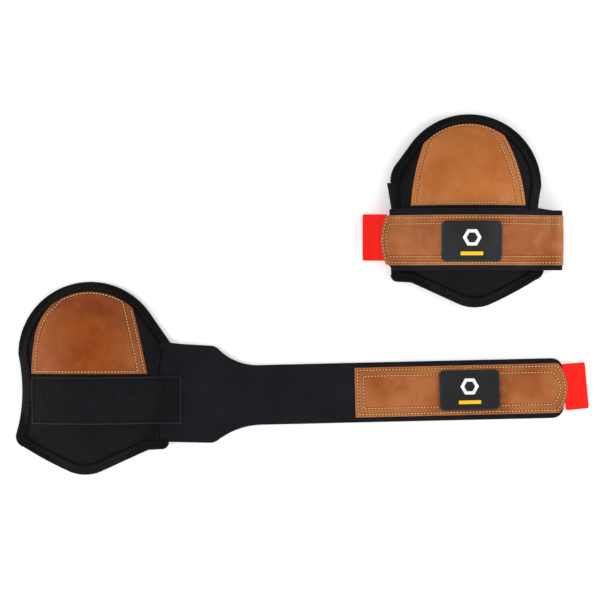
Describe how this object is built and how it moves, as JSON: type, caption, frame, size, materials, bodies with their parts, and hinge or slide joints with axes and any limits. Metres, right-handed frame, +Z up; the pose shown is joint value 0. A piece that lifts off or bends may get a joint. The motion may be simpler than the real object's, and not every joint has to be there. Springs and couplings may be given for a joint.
{
  "type": "knee pads",
  "caption": "Pair of soft cupped knee pads with leather caps and hook-and-loop straps: one lies open, one is fastened.",
  "frame": {"origin": "centre of the pair's bounding box, on the table plane that both pads lie on", "axes": "+X along the open strap from its pad to its pull tab, +Y up the leg from shin to thigh, +Z up off the table, out of the front of the knee"},
  "size_m": [0.6182, 0.3888, 0.0624],
  "materials": {
    "binding": "woven polyester tape, black, zigzag stitched",
    "foam": "closed-cell foam, cream",
    "hook_tape": "moulded hook tape, black",
    "leather": "smooth tan leather, satin",
    "lining": "brushed knit, black",
    "loop_tape": "napped loop tape, black",
    "neoprene": "knitted nylon face over neoprene foam, bluish black, matt",
    "patch_rubber": "moulded rubber, dark grey, satin",
    "print_white": "raised white rubber",
    "print_yellow": "raised yellow rubber",
    "red_webbing": "woven polyester webbing, bright red"
  },
  "bodies": {
    "open_pad": {"open_lining": "lining", "open_foam_core": "foam", "open_outer_shell": "neoprene", "open_edge_binding": "binding", "open_leather_cap": "leather", "open_loop_panel": "loop_tape", "open_wing_root": "neoprene", "open_wing_fold": "neoprene"},
    "open_wing": {"open_wing": "neoprene", "open_strap_fold": "neoprene"},
    "open_strap": {"open_strap": "neoprene", "open_strap_facing": "leather", "open_hook_tape": "hook_tape", "open_patch": "patch_rubber", "open_patch_ring": "print_white", "open_patch_bar": "print_yellow", "open_tab_root": "red_webbing"},
    "open_tab": {"open_pull_tab": "red_webbing"},
    "closed_pad": {"closed_lining": "lining", "closed_foam_core": "foam", "closed_outer_shell": "neoprene", "closed_edge_binding": "binding", "closed_leather_cap": "leather", "closed_loop_panel": "loop_tape", "closed_wing_root": "neoprene", "closed_wing_fold": "neoprene", "closed_under_strap": "neoprene", "closed_strap_bend": "neoprene", "closed_facing_bend": "leather"},
    "closed_strap": {"closed_front_strap": "neoprene", "closed_strap_facing": "leather", "closed_hook_tape": "hook_tape", "closed_patch": "patch_rubber", "closed_patch_ring": "print_white", "closed_patch_bar": "print_yellow", "closed_tab_root": "red_webbing"},
    "closed_tab": {"closed_pull_tab": "red_webbing"}
  },
  "joints": [
    {"name": "open_wing_hinge", "type": "hinge", "parent": "open_pad", "child": "open_wing", "pos_m": [-0.12595, -0.1051, 0.0035], "axis": [0, -1, 0], "range_deg": [-90, 90], "deforming": ["open_wing_fold"]},
    {"name": "open_strap_hinge", "type": "hinge", "parent": "open_wing", "child": "open_strap", "pos_m": [0.04955, -0.1059, 0.0035], "axis": [0.0232, -0.9997, 0], "range_deg": [-120, 120], "deforming": ["open_strap_fold"]},
    {"name": "open_tab_hinge", "type": "hinge", "parent": "open_strap", "child": "open_tab", "pos_m": [0.28766, -0.09937, 0.0048], "axis": [0.0929, -0.9957, 0], "range_deg": [-90, 90], "deforming": ["open_tab_root"]},
    {"name": "closed_pad_lift", "type": "slide", "parent": "open_pad", "child": "closed_pad", "axis": [0, 0, 1], "range_m": [0, 0.2]},
    {"name": "closed_strap_hinge", "type": "hinge", "parent": "closed_pad", "child": "closed_strap", "pos_m": [0.27175, 0.0584, 0.01045], "axis": [0, 1, 0], "range_deg": [0, 150], "deforming": ["closed_strap_bend", "closed_facing_bend"]},
    {"name": "closed_tab_hinge", "type": "hinge", "parent": "closed_strap", "child": "closed_tab", "pos_m": [0.08415, 0.0614, 0.0184], "axis": [0, 1, 0], "range_deg": [-60, 90], "deforming": ["closed_tab_root"]}
  ]
}
